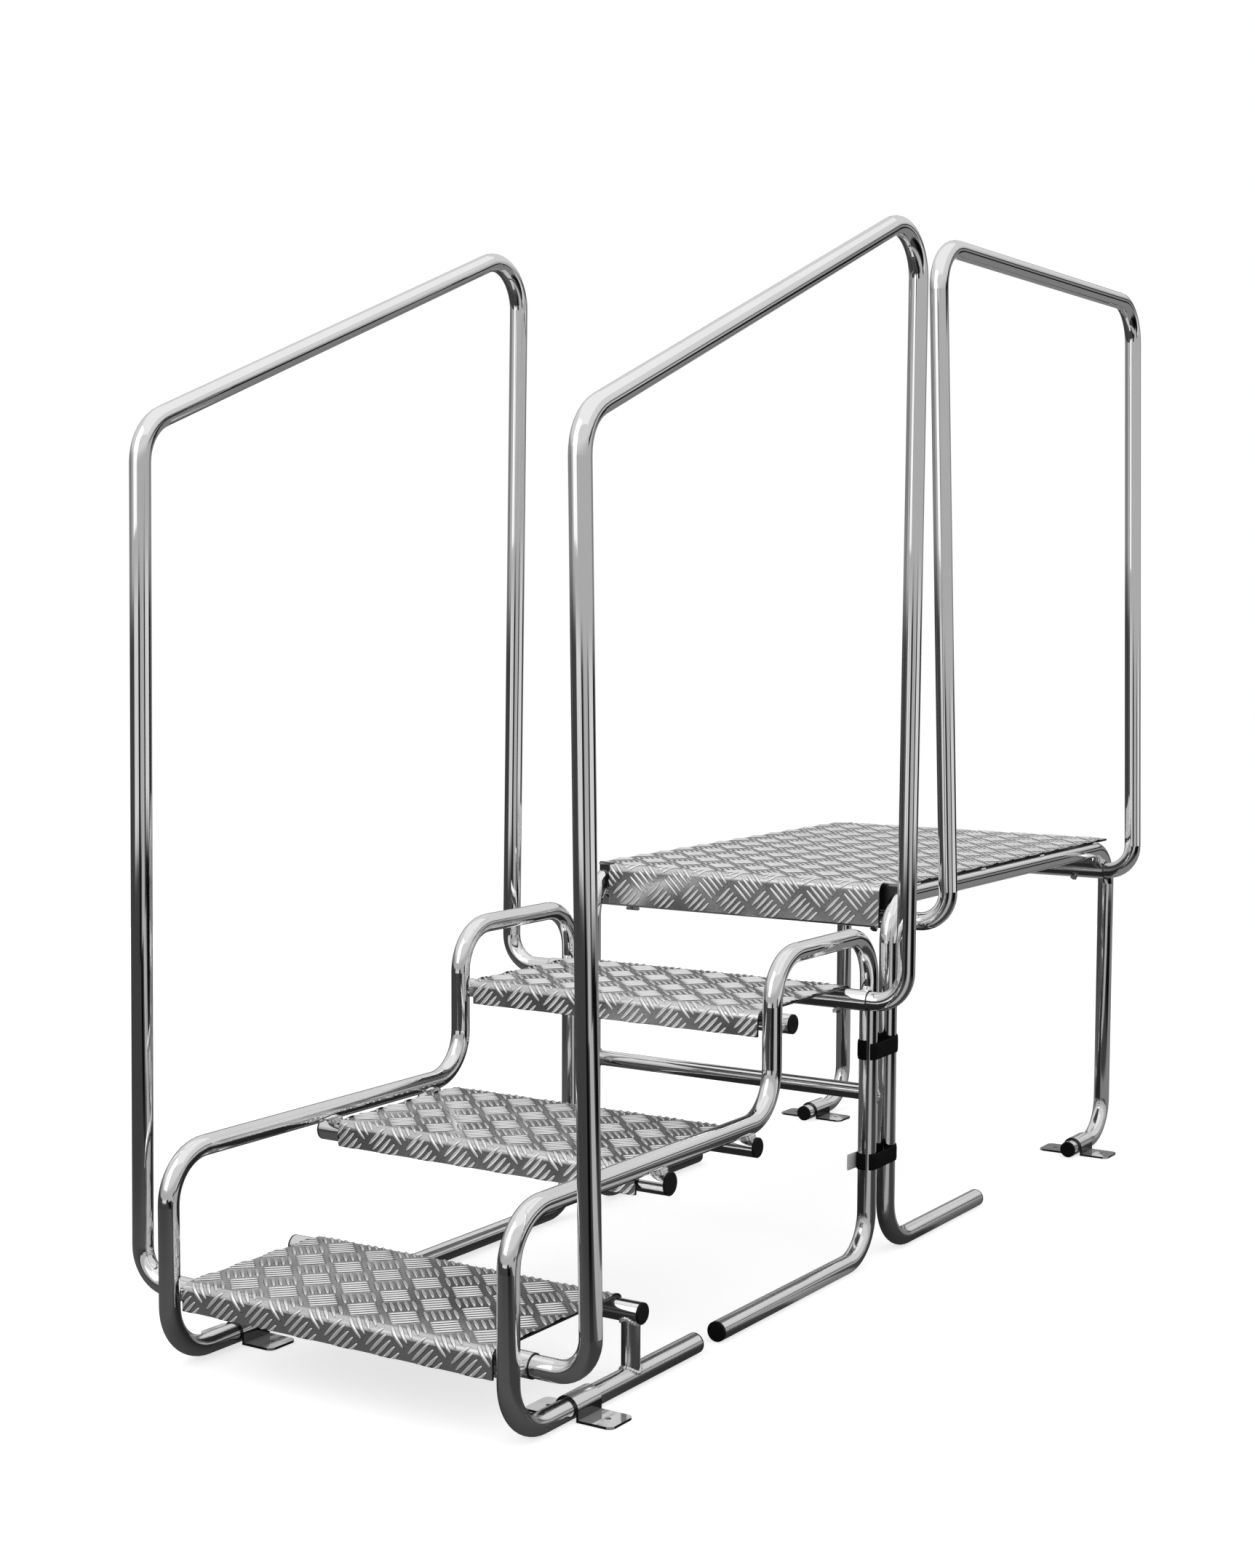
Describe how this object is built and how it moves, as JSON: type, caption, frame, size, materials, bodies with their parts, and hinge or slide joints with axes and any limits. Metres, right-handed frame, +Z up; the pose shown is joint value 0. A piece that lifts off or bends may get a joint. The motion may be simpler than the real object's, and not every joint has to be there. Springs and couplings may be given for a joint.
{
  "type": "mobility step with platform",
  "caption": "Free-standing chromed tube steps with checker-plate treads and handrails, strapped to a raised checker-plate platform with a side rail.",
  "frame": {"origin": "on the floor, on the centre plane, midway between the step's front tubes and the platform's rear tubes", "axes": "+X to the right of somebody climbing, +Y in the climbing direction, +Z up"},
  "size_m": [0.6756, 1.711, 1.3735],
  "materials": {
    "frame_chrome": "polished",
    "rail_chrome": "polished",
    "checker_plate": "satin",
    "saddle_steel": "polished",
    "plug_plastic": "satin",
    "screw_steel": "satin",
    "strap_webbing": "matte"
  },
  "bodies": {
    "root": {"step_side_frame_left": "frame_chrome", "step_side_frame_right": "frame_chrome", "platform_side_frame_left": "frame_chrome", "platform_side_frame_right": "frame_chrome", "tread_1_front_sleeve": "frame_chrome", "tread_1_rear_tube": "frame_chrome", "tread_2_front_tube": "frame_chrome", "tread_2_rear_tube": "frame_chrome", "tread_3_front_tube": "frame_chrome", "tread_3_rear_sleeve": "frame_chrome", "stub_post_left": "frame_chrome", "stub_post_right": "frame_chrome", "platform_front_sleeve": "frame_chrome", "platform_rear_sleeve": "frame_chrome", "platform_crossbar": "frame_chrome", "step_handrail_left": "rail_chrome", "step_handrail_right": "rail_chrome", "platform_handrail": "rail_chrome", "tread_1": "checker_plate", "tread_2": "checker_plate", "tread_3": "checker_plate", "platform_deck": "checker_plate", "step_saddle_foot_left": "saddle_steel", "step_saddle_foot_right": "saddle_steel", "platform_saddle_foot_left": "saddle_steel", "platform_saddle_foot_right": "saddle_steel", "step_frame_plugs": "plug_plastic", "cross_tube_plugs": "plug_plastic", "platform_frame_plugs": "plug_plastic", "platform_sleeve_plugs": "plug_plastic", "step_socket_screws": "screw_steel", "platform_socket_screws": "screw_steel", "strap_upper": "strap_webbing", "strap_lower": "strap_webbing"}
  },
  "joints": []
}
